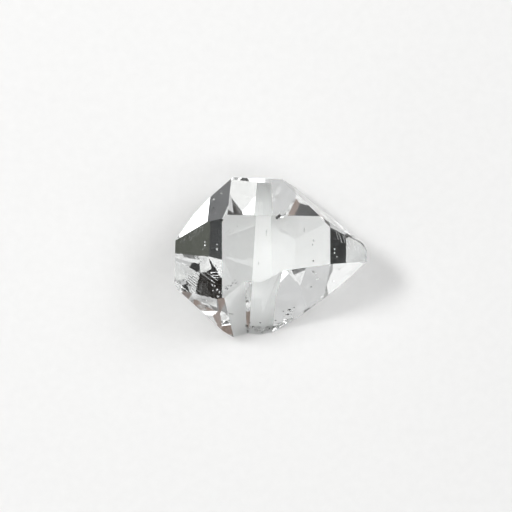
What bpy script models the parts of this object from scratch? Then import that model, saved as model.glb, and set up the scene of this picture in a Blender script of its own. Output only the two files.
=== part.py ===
"""A herkimer diamond: one clear quartz crystal with a point at each end, lying on a small prism face.

The crystal is cut from a block of clear quartz by its growth faces, one plane for each face.
Then its growth steps, chips and pits are cut in. +X runs towards the crystal's right point,
+Y to the back, +Z up, and the origin is the centre of its footprint on what it lies on.
"""
import math
import random

import bmesh
import bpy
from mathutils import Euler, Matrix, Vector

# Metres in a millimetre. Every other length here is in millimetres.
MM = 0.001

# The block of quartz that the crystal and the tools that cut it start from.
BLOCK = 60.0

# The long axis lies flat, turned this many degrees clockwise as seen from above.
AXIS_TURN = 3.4

# The flat that is up and the small one that the crystal rests on are parallel, this far apart.
THICKNESS = 12.7

# The point that the faces' distances are measured from, halfway up.
HEART = Vector((0.07, 0.16, THICKNESS / 2))

# Degrees between a face's normal and the long axis: 90 on the prism faces, 51.8 on the faces
# of the points as they are in perfect quartz, and near 80 on the steep face between them.
PRISM = 90.0
POINT = 51.8
STEEP = 80.0

RIGHT = 1
LEFT = -1

# How far a chip's ball stands off the face, as a share of its radius.
CHIP_LIFT = 0.82


class Face:
    """A growth face: a plane at its own distance from the crystal's heart, in mm.

    Around says where it stands round the long axis: 0 is up, 90 the front, 180 down
    and -90 the back. Lean is the angle from the long axis to the face's normal.
    """

    def __init__(self, end, around, lean, reach):
        turn = math.radians(around)
        tip = math.radians(lean)
        outward = Vector((0, -math.sin(turn), math.cos(turn)))
        normal = math.sin(tip) * outward + end * math.cos(tip) * Vector((1, 0, 0))
        self.normal = Matrix.Rotation(math.radians(-AXIS_TURN), 3, "Z") @ normal
        self.point = HEART + self.normal * reach

    def above(self, x, y):
        """The plane's point that is x and y from the heart, seen from above."""
        beside = HEART + Vector((x, y, 0))
        rise = self.normal.dot(self.point - beside) / self.normal.z
        return beside + Vector((0, 0, rise))


# The waist: a flattened six-sided prism.
WAIST = [
    Face(RIGHT, 0, PRISM, THICKNESS / 2),
    Face(RIGHT, 180, PRISM, THICKNESS / 2),
    Face(LEFT, -58, 88, 7.8),
    Face(RIGHT, -123, PRISM, 9.15),
    Face(RIGHT, 65, PRISM, 7.9),
    Face(LEFT, 114.5, 86.5, 11.95),
]

# The left end: its top and bottom faces are wide and meet in a ridge, not in a point.
LEFT_END = [
    Face(LEFT, 3, 50, 8.95),
    Face(LEFT, 180, 53.5, 6.45),
    Face(LEFT, -59, 56, 9.6),
    Face(LEFT, -59.5, 44.5, 10.15),
    Face(LEFT, -122.5, 44.5, 10.35),
    Face(LEFT, 67.5, 64.5, 9.85),
    Face(LEFT, 119.5, 43, 11.15),
]

# The right end comes to a point.
RIGHT_END = [
    Face(RIGHT, -3, 51.5, 9.7),
    Face(RIGHT, 183, 54.5, 5.2),
    Face(RIGHT, -57.5, POINT, 10),
    Face(RIGHT, -81, 57.5, 8.65),
    Face(RIGHT, -124.5, 46.5, 8.35),
    Face(RIGHT, 59.5, 62.5, 6.85),
    Face(RIGHT, 94, 48, 8.62),
]

# The front of the waist grew in steps that go down to the right. Each step has a floor, and a
# riser that is nearly parallel to a face of the right point.
MIDDLE_FLOOR = Face(RIGHT, 61.5, PRISM, 6.1)
MIDDLE_RISER = Face(RIGHT, 59.5, 52.5, 3)
STEEP_FLOOR = Face(RIGHT, 58, STEEP, 5.1)
STEEP_RISER = Face(RIGHT, 60.5, 61, 4.9)

# A growth layer ends in a low step across the top flat.
LAYER = 0.06
LAYER_FLOOR = Face(RIGHT, 0, PRISM, THICKNESS / 2 - LAYER)
LAYER_RISER = Face(RIGHT, 0, 0, 0.02)

# A nick in the back edge of the top flat: its floor and its two walls.
NICK_FLOOR = Face(LEFT, -48, PRISM, 7.95)
NICK_LEFT_WALL = Face(RIGHT, -60, 12, 2.4)
NICK_RIGHT_WALL = Face(LEFT, -60, POINT, 5.1)

# Chips along the front edge, near the floor: the face, the place seen from above, measured
# from the heart, and the size.
CHIPS = [
    (MIDDLE_FLOOR, -2.9, -9.4, 0.8),
    (MIDDLE_FLOOR, -1.9, -9.6, 0.9),
    (STEEP_FLOOR, 0.1, -9.3, 0.8),
    (STEEP_FLOOR, 1.2, -8.9, 0.9),
    (STEEP_FLOOR, 2.3, -8.3, 0.7),
]

# Growth pits in the steep front face: the place, measured in the same way, width and depth.
PITS = [
    (1.7, -7.9, 0.30, 0.16),
    (2.2, -7.1, 0.36, 0.22),
    (2.7, -7.6, 0.28, 0.15),
]


def clear_scene():
    for obj in list(bpy.data.objects):
        bpy.data.objects.remove(obj, do_unlink=True)


def clear_quartz():
    quartz = bpy.data.materials.new("clear_quartz")
    quartz.use_nodes = True
    surface = quartz.node_tree.nodes["Principled BSDF"]
    surface.inputs["Base Color"].default_value = (0.93, 0.94, 0.95, 1)
    surface.inputs["Metallic"].default_value = 0.0
    surface.inputs["Roughness"].default_value = 0.02
    surface.inputs["IOR"].default_value = 1.544
    surface.inputs["Transmission Weight"].default_value = 1.0
    return quartz


def new_object(name, shape):
    """An object in metres of a shape in millimetres."""
    bmesh.ops.scale(shape, vec=(MM, MM, MM), verts=shape.verts)
    bmesh.ops.recalc_face_normals(shape, faces=shape.faces)
    mesh = bpy.data.meshes.new(name)
    shape.to_mesh(mesh)
    shape.free()
    obj = bpy.data.objects.new(name, mesh)
    bpy.context.scene.collection.objects.link(obj)
    return obj


def slice_off(shape, point, normal):
    """Cuts away what lies past the plane, and closes the cut with one flat face."""
    everything = shape.verts[:] + shape.edges[:] + shape.faces[:]
    cut = bmesh.ops.bisect_plane(
        shape, geom=everything, dist=1e-5, plane_co=point, plane_no=normal, clear_outer=True
    )
    rim = [part for part in cut["geom_cut"] if isinstance(part, bmesh.types.BMEdge)]
    bmesh.ops.edgeloop_fill(shape, edges=rim)


def grown_crystal():
    """The block with every growth face cut on it."""
    shape = bmesh.new()
    bmesh.ops.create_cube(shape, size=BLOCK)
    for face in WAIST + LEFT_END + RIGHT_END:
        slice_off(shape, face.point, face.normal)
    return new_object("crystal", shape)


def take_away(crystal, cutter):
    cutter.hide_render = True
    cutter.display_type = "WIRE"
    cut = crystal.modifiers.new(cutter.name, "BOOLEAN")
    cut.operation = "DIFFERENCE"
    cut.solver = "EXACT"
    cut.object = cutter


def cut_step(crystal, name, *faces):
    """Takes away what lies outside all of these faces at once, which leaves a step or a nick."""
    shape = bmesh.new()
    bmesh.ops.create_cube(shape, size=BLOCK)
    for face in faces:
        slice_off(shape, face.point, -face.normal)
    take_away(crystal, new_object(name, shape))


def chip_edge(crystal, name, face, x, y, size, draw):
    """Breaks a shell-shaped chip off the front edge: the cutter is a ball with flats."""
    shape = bmesh.new()
    bmesh.ops.create_icosphere(shape, subdivisions=2, radius=size)
    turn = Euler([draw.uniform(0, math.pi) for _ in range(3)]).to_matrix().to_4x4()
    centre = face.above(x, y) + face.normal * size * CHIP_LIFT
    bmesh.ops.transform(shape, matrix=Matrix.Translation(centre) @ turn, verts=shape.verts)
    take_away(crystal, new_object(name, shape))


def sink_pit(crystal, name, x, y, width, depth):
    """A three-sided pit that points into the steep front face."""
    shape = bmesh.new()
    bmesh.ops.create_cone(
        shape, segments=3, radius1=0, radius2=width, depth=2 * depth, cap_ends=True
    )
    upright = Vector((0, 0, 1)).rotation_difference(STEEP_FLOOR.normal).to_matrix().to_4x4()
    place = Matrix.Translation(STEEP_FLOOR.above(x, y))
    bmesh.ops.transform(shape, matrix=place @ upright, verts=shape.verts)
    take_away(crystal, new_object(name, shape))


clear_scene()
crystal = grown_crystal()
crystal.data.materials.append(clear_quartz())

cut_step(crystal, "cut_middle_step", MIDDLE_FLOOR, MIDDLE_RISER)
cut_step(crystal, "cut_steep_step", STEEP_FLOOR, STEEP_RISER)
cut_step(crystal, "cut_top_layer", LAYER_FLOOR, LAYER_RISER)
cut_step(crystal, "cut_back_nick", NICK_FLOOR, NICK_LEFT_WALL, NICK_RIGHT_WALL)

breaks = random.Random(4)
for number, (face, x, y, size) in enumerate(CHIPS):
    chip_edge(crystal, f"cut_chip_{number}", face, x, y, size, breaks)
for number, (x, y, width, depth) in enumerate(PITS):
    sink_pit(crystal, f"cut_pit_{number}", x, y, width, depth)
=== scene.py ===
# %% [markdown]
# # A herkimer diamond
#
# A herkimer diamond is a single crystal of clear quartz that grew free in a cavity, so it has a
# point at both ends. Its faces are flat and as bright as if they were polished. This one is
# stubby: a short flattened prism with many unequal faces. It lies on one of them on plain paper.
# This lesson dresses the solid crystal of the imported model: fine growth marks, clear quartz, a
# sheet of paper, studio light and a camera that looks straight down.

# %% Load the crystal's solid
import math
import random

import bpy
from mathutils import Matrix, Vector


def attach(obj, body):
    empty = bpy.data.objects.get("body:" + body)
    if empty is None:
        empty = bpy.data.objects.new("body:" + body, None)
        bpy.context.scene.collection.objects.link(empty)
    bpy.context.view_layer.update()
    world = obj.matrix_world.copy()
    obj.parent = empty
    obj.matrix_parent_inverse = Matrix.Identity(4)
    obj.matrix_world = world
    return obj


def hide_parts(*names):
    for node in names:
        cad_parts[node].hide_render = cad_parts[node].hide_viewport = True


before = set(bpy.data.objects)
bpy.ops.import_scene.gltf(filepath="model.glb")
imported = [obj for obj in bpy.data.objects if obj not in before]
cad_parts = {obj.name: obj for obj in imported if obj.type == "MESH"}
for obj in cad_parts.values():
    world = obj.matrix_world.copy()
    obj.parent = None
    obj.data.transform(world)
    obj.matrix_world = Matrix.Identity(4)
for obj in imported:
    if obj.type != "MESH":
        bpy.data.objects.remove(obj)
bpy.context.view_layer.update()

MM = 0.001
print("nodes:", sorted(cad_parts))

# %% [markdown]
# ## Two small tools
#
# Colours are picked as sRGB hex values, as any paint program shows them, and Blender's sockets
# want linear light, so one function turns one into the other. The other function adds a shader
# node with its settings and its links in one call, which keeps a material's recipe readable.


# %% A colour from its hex value, and a node with its links
def linear(hex_value):
    channels = [int(hex_value[i : i + 2], 16) / 255 for i in (1, 3, 5)]
    return (*((c / 12.92 if c <= 0.04045 else ((c + 0.055) / 1.055) ** 2.4) for c in channels), 1.0)


def add_node(tree, kind, settings=None, **links):
    """Adds a node. A link is a socket's name with _ for a space: a number, a colour or an output."""
    node = tree.nodes.new(kind)
    for name, value in (settings or {}).items():
        setattr(node, name, value)
    for name, value in links.items():
        socket = node.inputs[int(name[1:])] if name[1:].isdigit() else node.inputs[name.replace("_", " ")]
        if isinstance(value, bpy.types.NodeSocket):
            tree.links.new(value, socket)
        else:
            socket.default_value = value
    return node


print("paper white is", [round(c, 3) for c in linear("#e4e4e3")[:3]])

# %% [markdown]
# ## The crystal
#
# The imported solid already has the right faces, so the crystal starts as a copy of it. The copy
# is merged, because the solid comes as loose triangles, and triangles that share a plane become
# one face. Flat shading stays: a growth face is a true mirror, and smoothed normals would bend
# the light that goes through it.


# %% Copy and merge the solid
MERGE = 0.001  # mm
SAME_PLANE = math.radians(0.3)


def only(obj):
    """Selects one object alone and makes it the active one."""
    bpy.ops.object.select_all(action="DESELECT")
    obj.select_set(True)
    bpy.context.view_layer.objects.active = obj


crystal = bpy.data.objects.new("quartz_crystal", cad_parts["crystal"].data.copy())
bpy.context.scene.collection.objects.link(crystal)
only(crystal)
bpy.ops.object.mode_set(mode="EDIT")
bpy.ops.mesh.select_all(action="SELECT")
bpy.ops.mesh.remove_doubles(threshold=MERGE * MM)
bpy.ops.mesh.dissolve_limited(angle_limit=SAME_PLANE)
bpy.ops.object.mode_set(mode="OBJECT")
print("the crystal has", len(crystal.data.polygons), "faces")

# %% [markdown]
# ## Clear quartz
#
# Rock crystal is silicon dioxide, grown slowly in water. Its faces are smooth down to the
# wavelength of light, so its roughness is next to nothing. Its index of refraction is 1.544, so
# light that meets a face from inside at more than 40 degrees is mirrored, and that is what makes
# some facets black and others white. Growth leaves very low hillocks, about a millimetre wide, so
# a mirrored edge wavers a little. Where the crystal is broken the surface is shell-shaped, with
# fine ripples that scatter light, and looks like frost. That is the second material: its ripples
# are a bump, and its colour, mottled from grey to white, is painted shade that makes the chips
# grey. The third is a black film of old hydrocarbon, which sits in some pits of such crystals as
# dark specks.


# %% A material with two shades that wander over it
def new_material(name):
    """A material with an empty node tree."""
    material = bpy.data.materials.new(name)
    material.use_nodes = True
    material.node_tree.nodes.clear()
    return material


def mottle(tree, grains, detail, shades):
    """Noise with so many grains to a metre, and the colour that it makes from two shades."""
    place = add_node(tree, "ShaderNodeTexCoord").outputs["Object"]
    noise = add_node(tree, "ShaderNodeTexNoise", Vector=place, Scale=grains, Detail=detail)
    tint = add_node(tree, "ShaderNodeMix", {"data_type": "RGBA"})
    tree.links.new(noise.outputs["Fac"], tint.inputs["Factor"])
    tint.inputs["A"].default_value = linear(shades[0])
    tint.inputs["B"].default_value = linear(shades[1])
    return noise.outputs["Fac"], tint.outputs["Result"]


# %% Two finishes of quartz, and the black film
QUARTZ_IOR = 1.544
FILM_GRAIN = 0.05  # mm


def quartz(name, shades, roughness, hillock, height):
    """Clear quartz with hillocks of a width and a height in mm, shaded from one colour to another."""
    material = new_material(name)
    tree = material.node_tree
    hills, colour = mottle(tree, 1 / (hillock * MM), 3.0, shades)
    bump = add_node(tree, "ShaderNodeBump", Height=hills, Strength=1.0, Distance=height * MM)
    surface = add_node(
        tree, "ShaderNodeBsdfPrincipled",
        Base_Color=colour, Roughness=roughness, IOR=QUARTZ_IOR,
        Transmission_Weight=1.0, Normal=bump.outputs["Normal"],
    )
    add_node(tree, "ShaderNodeOutputMaterial", Surface=surface.outputs["BSDF"])
    return material


def matt(name, grains, detail, shades, roughness):
    """A surface that light doesn't go through, mottled with two shades."""
    material = new_material(name)
    tree = material.node_tree
    colour = mottle(tree, grains, detail, shades)[1]
    surface = add_node(tree, "ShaderNodeBsdfPrincipled", Base_Color=colour, Roughness=roughness)
    add_node(tree, "ShaderNodeOutputMaterial", Surface=surface.outputs["BSDF"])
    return material


GROWN = quartz("clear_quartz_growth_faces", ("#f8fbfb", "#fdfdfc"), 0.0, 1.1, 0.002)
# The broken finish is mottled from grey to white. That grey is painted shade, and its ripples are a real
# bump.
BROKEN = quartz("clear_quartz_fracture_with_painted_shade", ("#8f8f8e", "#ffffff"), 0.05, 0.25, 0.06)
BLACK = matt("black_hydrocarbon_film", 1 / (FILM_GRAIN * MM), 2.0, ("#0e0d0c", "#2b2824"), 0.5)
crystal.data.materials.clear()
crystal.data.materials.append(GROWN)
print("finishes:", GROWN.name, BROKEN.name, BLACK.name)

# %% [markdown]
# ## Marks of growth and of knocks
#
# A clear crystal shows every small mark, because each one bends the light its own way. Growth
# left short shallow dashes across the top flat and fine lines on the points. Small knocks left
# shell-shaped dents, which glint as dots. The front edges, near the paper, are chipped and look
# frosted, and some pits and a nick are black. All of them could be painted, but a painted mark
# doesn't glint, so each one is cut: small balls and wedges are put where the marks are, joined
# kind by kind, and each kind is taken away in a Boolean. The places were read from enlarged parts
# of the photograph.


# %% Places on the crystal's surface
# The heart is halfway up, and places are measured from it, to the right and to the back.
HEART = Vector((0.07, 0.16, 6.35)) * MM
WELL_ABOVE = 20  # mm


def on_surface(right, back):
    """The surface's point and normal right of and behind the heart, in mm, seen from above."""
    above = HEART + Vector((right, back, WELL_ABOVE)) * MM
    hit, point, normal, face = crystal.ray_cast(above, Vector((0, 0, -1)))
    return (point, normal) if hit else None


print("the top flat is", round(on_surface(0, 0)[0].z / MM, 2), "mm above the paper")

# %% Dents that glint
# The place and the width of each, in mm.
DENTS = [
    (-7.5, 7.4, 0.42), (-7.9, 5.4, 0.26), (-7.2, 5.6, 0.2), (-7.0, 0.9, 0.4), (-7.0, 1.5, 0.26),
    (-7.2, -1.3, 0.3), (-7.3, -3.9, 0.32), (-7.0, -4.4, 0.36), (-6.7, -4.7, 0.3), (-7.5, -4.5, 0.24),
    (-8.3, -5.8, 0.4), (-7.8, -7.6, 0.3), (-4.3, -3.6, 0.22), (-4.7, -3.1, 0.18), (5.5, 2.0, 0.3),
    (5.4, 1.5, 0.24), (5.5, -0.6, 0.16), (8.2, 0.9, 0.3), (8.2, 0.4, 0.28), (8.5, -0.1, 0.18),
    (8.1, -3.3, 0.34), (5.7, -2.3, 0.32), (6.1, -3.0, 0.28), (5.2, -4.0, 0.16), (3.9, 6.9, 0.24),
    (0.9, 8.5, 0.18),
]
DENT_DEPTH = 0.3
breaks = random.Random(11)
cutters = []


def ball(right, back, width, depth, finish):
    """Puts a cutter on the surface: a ball with flats, as wide as the dent, sunk by depth x width."""
    place = on_surface(right, back)
    if place is None:
        return
    centre = place[0] + place[1] * (0.5 - depth) * width * MM
    bpy.ops.object.select_all(action="DESELECT")
    bpy.ops.mesh.primitive_ico_sphere_add(subdivisions=2, radius=width / 2 * MM, location=centre)
    bpy.ops.transform.rotate(
        value=breaks.uniform(0, math.pi), orient_axis=breaks.choice("XYZ"), center_override=centre
    )
    bpy.context.object.data.materials.append(finish)
    cutters.append(bpy.context.object)


for right, back, width in DENTS:
    ball(right, back, width, DENT_DEPTH, GROWN)
print(len(cutters), "dents")

# %% Dashes across the top flat
# The place and the length of each, in mm. They lie across the crystal's long axis.
DASHES = [
    (-4.9, 3.1, 0.8), (-4.2, 3.0, 1.0), (-2.6, 2.6, 0.9), (-0.6, 3.0, 0.9), (1.3, 3.2, 0.6),
    (2.9, 2.7, 1.1), (-3.3, 1.2, 0.5), (4.3, 3.4, 0.5), (-5.3, 0.4, 0.6), (-1.6, -0.9, 0.5),
]
DASH_WIDTH = 0.14
DASH_DEPTH = 0.04
AXIS_TURN = math.radians(3.4)  # clockwise, seen from above


def wedge(point, long, out, length, width, depth, finish):
    """Puts a cutter on the surface: a bar with a V below, along one direction of a face."""
    bpy.ops.object.select_all(action="DESELECT")
    bpy.ops.mesh.primitive_cylinder_add(vertices=3, radius=1, depth=1)
    bar = bpy.context.object
    across = out.cross(long)
    half = width / math.sqrt(3) * MM
    turn = Matrix((across * half, -out * depth * MM, long * length * MM)).transposed().to_4x4()
    bar.data.transform(Matrix.Translation(point) @ turn)
    if turn.determinant() < 0:
        bar.data.flip_normals()
    bar.data.materials.append(finish)
    cutters.append(bar)


for right, back, length in DASHES:
    point, out = on_surface(right, back)
    long = Vector((math.sin(AXIS_TURN), math.cos(AXIS_TURN), 0))
    wedge(point, long, out, length, DASH_WIDTH, DASH_DEPTH, GROWN)
print(len(DASHES), "dashes")


# %% Take the marks away from the crystal
def take_marks(name):
    """Joins the cutters and takes them away from the crystal."""
    bpy.ops.object.select_all(action="DESELECT")
    for cutter in cutters:
        cutter.select_set(True)
    bpy.context.view_layer.objects.active = cutters[0]
    bpy.ops.object.join()
    marks = bpy.context.object
    only(crystal)
    cut = crystal.modifiers.new(name, "BOOLEAN")
    cut.operation = "DIFFERENCE"
    cut.solver = "EXACT"
    cut.use_self = True
    cut.material_mode = "TRANSFER"
    cut.object = marks
    bpy.ops.object.modifier_apply(modifier=name)
    bpy.data.objects.remove(marks, do_unlink=True)
    cutters.clear()
    print("after the", name, "the crystal has", len(crystal.data.polygons), "faces")


take_marks("dents_and_dashes")

# %% Fine growth lines on the faces of the points
# Each line goes from one place to another, in mm, on the left point and then on the right one.
LEFT_LINES = [
    (-10.3, -2.5, -8.1, -4.1), (-9.8, -2.2, -7.5, -3.9), (-9.4, -1.9, -7.3, -3.5),
    (-8.8, -1.8, -6.9, -3.2), (-10.7, -2.5, -8.2, -4.4), (-10.8, -2.8, -7.9, -5.0),
    (-10.9, -3.1, -8.1, -5.2), (-10.9, -3.4, -9.1, -4.7), (-10.9, -3.8, -9.8, -4.6),
    (-7.9, -2.1, -6.7, -2.1), (-7.9, -2.5, -6.7, -2.5), (-7.4, -2.8, -6.7, -2.8),
]
RIGHT_LINES = [
    (8.4, 3.3, 8.7, 2.1), (8.7, 3.1, 9.2, 1.7), (9.3, 2.7, 9.6, 1.7), (9.5, 2.7, 10.1, 0.9),
    (10.1, 2.3, 10.3, 1.3), (10.7, 1.9, 11.0, 0.7), (11.2, 1.5, 11.4, 0.5),
]
SAME_FACE = 0.1  # radians between the normals at a line's two ends


def on_one_face(right, back, to_right, to_back):
    """Whether the surface points the same way at two places."""
    return on_surface(right, back)[1].angle(on_surface(to_right, to_back)[1]) < SAME_FACE


def groove(right, back, to_right, to_back, width, depth, finish):
    """Puts a wedge on the surface from one place to another."""
    start, out = on_surface(right, back)
    end = on_surface(to_right, to_back)[0]
    along = end - start
    wedge((start + end) / 2, along.normalized(), out, along.length / MM, width, depth, finish)


for lines, width, depth in ((LEFT_LINES, 0.1, 0.025), (RIGHT_LINES, 0.09, 0.012)):
    for ends in lines:
        if on_one_face(*ends):
            groove(*ends, width, depth, GROWN)
take_marks("growth_lines")

# %% Chips and frost along the front edges, grey with painted shade
# Each run goes from one place to another: how many chips, how far they stray and their widths.
CHIPPED = [
    (-3.2, -9.2, -0.9, -9.7, 12, 0.3, 0.3, 0.6),
    (-0.6, -9.6, 2.9, -8.2, 16, 0.3, 0.3, 0.7),
    (1.7, -8.0, 2.7, -6.8, 5, 0.3, 0.15, 0.4),
    (-7.1, -5.2, -4.4, -3.2, 16, 0.2, 0.12, 0.35),
    (-8.0, -5.2, -7.2, -7.2, 4, 0.15, 0.12, 0.3),
]
CHIP_DEPTH = 0.4
# Shells are wide shallow chips. Like every chip they take the broken finish, whose grey is painted shade.
SHELLS = [(-1.6, -9.3, 1.3), (0.1, -9.4, 1.1), (0.9, -9.1, 1.4), (1.9, -8.7, 1.2)]
SHELL_DEPTH = 0.12
for right, back, width in SHELLS:
    ball(right, back, width, SHELL_DEPTH, BROKEN)
for right, back, to_right, to_back, count, stray, small, large in CHIPPED:
    for index in range(count):
        share = (index + 0.5) / count
        ball(
            right + (to_right - right) * share + breaks.uniform(-stray, stray),
            back + (to_back - back) * share + breaks.uniform(-stray, stray),
            breaks.uniform(small, large), CHIP_DEPTH, BROKEN,
        )
take_marks("chips")

# %% Black specks in pits, and a black nick
# The place and the width of each speck, and the ends and the width of each cut of the nick
# and of a crack, in mm.
SPECKS = [
    (2.4, -7.0, 0.42), (2.2, -7.6, 0.38), (3.0, -6.7, 0.22), (1.6, -7.2, 0.2), (5.46, -0.65, 0.22),
    (5.2, -4.0, 0.22), (-6.35, 4.65, 0.36), (2.6, -8.6, 0.4), (-3.2, -9.1, 0.4), (-2.8, -8.7, 0.3),
    (-2.4, -9.2, 0.26), (-1.4, -8.7, 0.28), (0.3, -9.2, 0.36), (0.6, -8.4, 0.26), (-0.2, -9.5, 0.3),
]
SPECK_DEPTH = 0.35
for right, back, width in SPECKS:
    ball(right, back, width, SPECK_DEPTH, BLACK)
take_marks("specks")
NICKS = [
    (0.65, 4.85, 1.2, 5.3, 0.4), (0.95, 5.1, 1.9, 5.45, 0.3), (-5.5, -7.5, -4.9, -7.55, 0.12),
]
for *ends, width in NICKS:
    groove(*ends, width, width / 2, BLACK)
take_marks("nick")

# %% Tie the crystal to the frame
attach(crystal, "root")
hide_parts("crystal")
print("the crystal rides on the root and stands for the solid")

# %% [markdown]
# ## The paper
#
# The crystal lies on a plain pale sheet. It is a big plane, so that it runs past the view from
# every side, and its one job is to be an even, matt, light grey.

# %% A pale sheet
PAPER_SIZE = 2.0
PAPER_DROP = 0.02  # mm, so that the crystal's flat doesn't share the sheet's plane
FIBRES = 900.0  # to a metre
only(crystal)
bpy.ops.mesh.primitive_plane_add(size=PAPER_SIZE, location=(0, 0, -PAPER_DROP * MM))
paper = bpy.context.object
paper.name = "paper"
bpy.ops.object.transform_apply(location=True, rotation=True, scale=True)
paper.data.materials.append(matt("pale_matt_paper", FIBRES, 4.0, ("#e4e4e3", "#eaeae9"), 0.9))
print("the sheet is", PAPER_SIZE, "m wide")

# %% [markdown]
# ## Light
#
# A clear crystal has no look of its own: every facet shows a piece of what is round it. So the
# light is set as for glassware in a studio. The room is pale, soft boxes stand round the crystal
# and above it, and dark flags stand between them, so that some facets go black and others white.
# Near the horizon the room stays pale and even. The room's own tone and most of the cards'
# numbers are the result of a search, by a separate program, for the light that makes each facet
# as bright as it is in the photograph. They were rounded, and the cards whose notes say so were
# set or changed after the search.

# %% The room, its soft boxes and its dark flags
# Each card: the side it stands on (degrees, 0 is right and 90 is back), how high, how wide from
# its middle, how soft its rim is, all in degrees, then how bright it is and its colour. A card
# lies over the ones before it.
CARDS = [
    (27, 23, 44, 5, 0.03, "#efeeda"),  # a wide dark flag, low on the right, tinted after the search
    (56, 39, 7, 5, 0.2, "#ffd0b4"),  # a warm card on it, set after the search, for the brown strip
    (11, 21, 7, 5, 0.2, "#ffd0b4"),  # another one, set after the search, for the same strip
    (28, 45, 17, 5, 5.7, "#fbfcff"),  # a bright soft box at the back right
    (287, 43, 34, 5, 0.02, "#ffffff"),  # a wide dark flag in front
    (352, 66, 9, 5, 0.04, "#9fb4cf"),  # a dark flag, set after the search, for the black face at the upper left
    (200, 80, 8, 6, 0.03, "#ffffff"),  # a dark flag, set after the search, for the dark face at the right
    (146, 28, 22, 5, 0.02, "#ffffff"),  # a dark flag at the back left
    (301, 50, 22, 5, 2.2, "#fffffd"),  # a soft box in front, over the wide flag
    (50, 86, 8, 4, 4.4, "#fffefd"),  # a bright soft box overhead, set after the search
    (338, 80, 4, 3, 0.17, "#d4d9c8"),  # a small grey flag, set after the search, for the grey left face
    (105, 16, 28, 5, 0.02, "#ffe9d8"),  # a dark flag, tinted after the search, for the black face at the lower left
    (165, 58, 11, 7, 2.6, "#fdfeff"),  # a soft box high on the left
    (183, 15, 11, 5, 0.02, "#ffffff"),  # a dark flag, for the black face at the upper right
    (279, 23, 32, 5, 0.02, "#ffffff"),  # a wide dark flag, low in front
    (342, 40, 10, 5, 3.3, "#ffffff"),  # a soft box on the right
    (83, 71, 14, 10, 1.55, "#fffefd"),  # a soft box high at the back
    (210, 47, 12, 5, 0.24, "#ffd0b4"),  # a warm card, its tone set after the search, for the brown face
]
ROOM = 0.74
STRENGTH = 0.82
HORIZON = (0.05, 0.15)  # sines of the heights between which the cards come in


def facing(side, height):
    """The direction of a place in the room, as a unit vector."""
    side, height = math.radians(side), math.radians(height)
    return (
        math.cos(height) * math.cos(side),
        math.cos(height) * math.sin(side),
        math.sin(height),
    )


def grey(value):
    """A grey as a colour in linear light."""
    return (value, value, value, 1.0)


def blend(tree, share, under, over):
    """Lays a colour over another one, as far as the share says."""
    mix = add_node(tree, "ShaderNodeMix", {"data_type": "RGBA"})
    tree.links.new(share, mix.inputs["Factor"])
    for socket, colour in (("A", under), ("B", over)):
        if isinstance(colour, bpy.types.NodeSocket):
            tree.links.new(colour, mix.inputs[socket])
        else:
            mix.inputs[socket].default_value = colour
    return mix.outputs["Result"]


def ramp(tree, value, start, end):
    """0 at the start and 1 at the end, with soft ends."""
    span = add_node(tree, "ShaderNodeMapRange", {"interpolation_type": "SMOOTHSTEP"})
    tree.links.new(value, span.inputs["Value"])
    span.inputs["From Min"].default_value = start
    span.inputs["From Max"].default_value = end
    return span.outputs["Result"]


world = bpy.data.worlds.new("studio")
bpy.context.scene.world = world
world.use_nodes = True
tree = world.node_tree
tree.nodes.clear()
look = add_node(tree, "ShaderNodeTexCoord").outputs["Generated"]
height = add_node(tree, "ShaderNodeSeparateXYZ", Vector=look).outputs["Z"]
room = grey(ROOM)
for side, up, wide, soft, bright, hue in CARDS:
    near = add_node(
        tree, "ShaderNodeVectorMath", {"operation": "DOT_PRODUCT"}, _0=look, _1=facing(side, up)
    )
    apart = add_node(tree, "ShaderNodeMath", {"operation": "ARCCOSINE"}, _0=near.outputs["Value"])
    outer, inner = math.radians(wide + soft / 2), math.radians(wide - soft / 2)
    share = ramp(tree, apart.outputs["Value"], outer, inner)
    colour = (*(bright * c for c in linear(hue)[:3]), 1.0)
    room = blend(tree, share, room, colour)
room = blend(tree, ramp(tree, height, *HORIZON), grey(ROOM), room)
light = add_node(tree, "ShaderNodeBackground", Color=room, Strength=STRENGTH)
add_node(tree, "ShaderNodeOutputWorld", Surface=light.outputs["Background"])
print(len(CARDS), "cards stand round the crystal")

# %% The key light
# A small lamp at the upper left gives the soft shadow and the glints on the dents.
LAMP_PLACE = (-0.28, 0.20, 0.49)
LAMP_SIZE = 0.15
LAMP_POWER = 1.5
bpy.ops.object.light_add(type="AREA", location=LAMP_PLACE)
lamp = bpy.context.object
lamp.name = "key_light"
lamp.data.shape = "DISK"
lamp.data.size = LAMP_SIZE
lamp.data.energy = LAMP_POWER
lamp.rotation_euler = Vector(lamp.location).to_track_quat("Z", "Y").to_euler()
print("the lamp is", round(Vector(lamp.location).length, 2), "m from the crystal")

# %% [markdown]
# ## The camera
#
# The view is straight down. A long lens from far above keeps the crystal's top and bottom at
# one scale. The view is as wide as the photograph's frame at this crystal's size.

# %% A camera straight above
PIXEL = 0.13 * MM
FRAME_PIXELS = 512
OFF_CENTRE = 15  # pixels from the middle of the view to the crystal's heart
LENS = 800.0
SENSOR = 36.0
bpy.ops.object.camera_add()
camera = bpy.context.object
camera.data.lens = LENS
camera.data.sensor_width = SENSOR
camera.data.clip_end = 10.0
middle = HEART + Vector((-OFF_CENTRE * PIXEL, 0, 0))
camera.location = middle + Vector((0, 0, FRAME_PIXELS * PIXEL * LENS / SENSOR))
camera.rotation_euler = (0, 0, 0)
bpy.context.scene.camera = camera
paths = bpy.context.scene.cycles
paths.max_bounces = 24
paths.glossy_bounces = 20
paths.transmission_bounces = 20
bpy.context.scene.view_settings.view_transform = "Standard"
print("the camera is", round(camera.location.z, 2), "m above the paper")
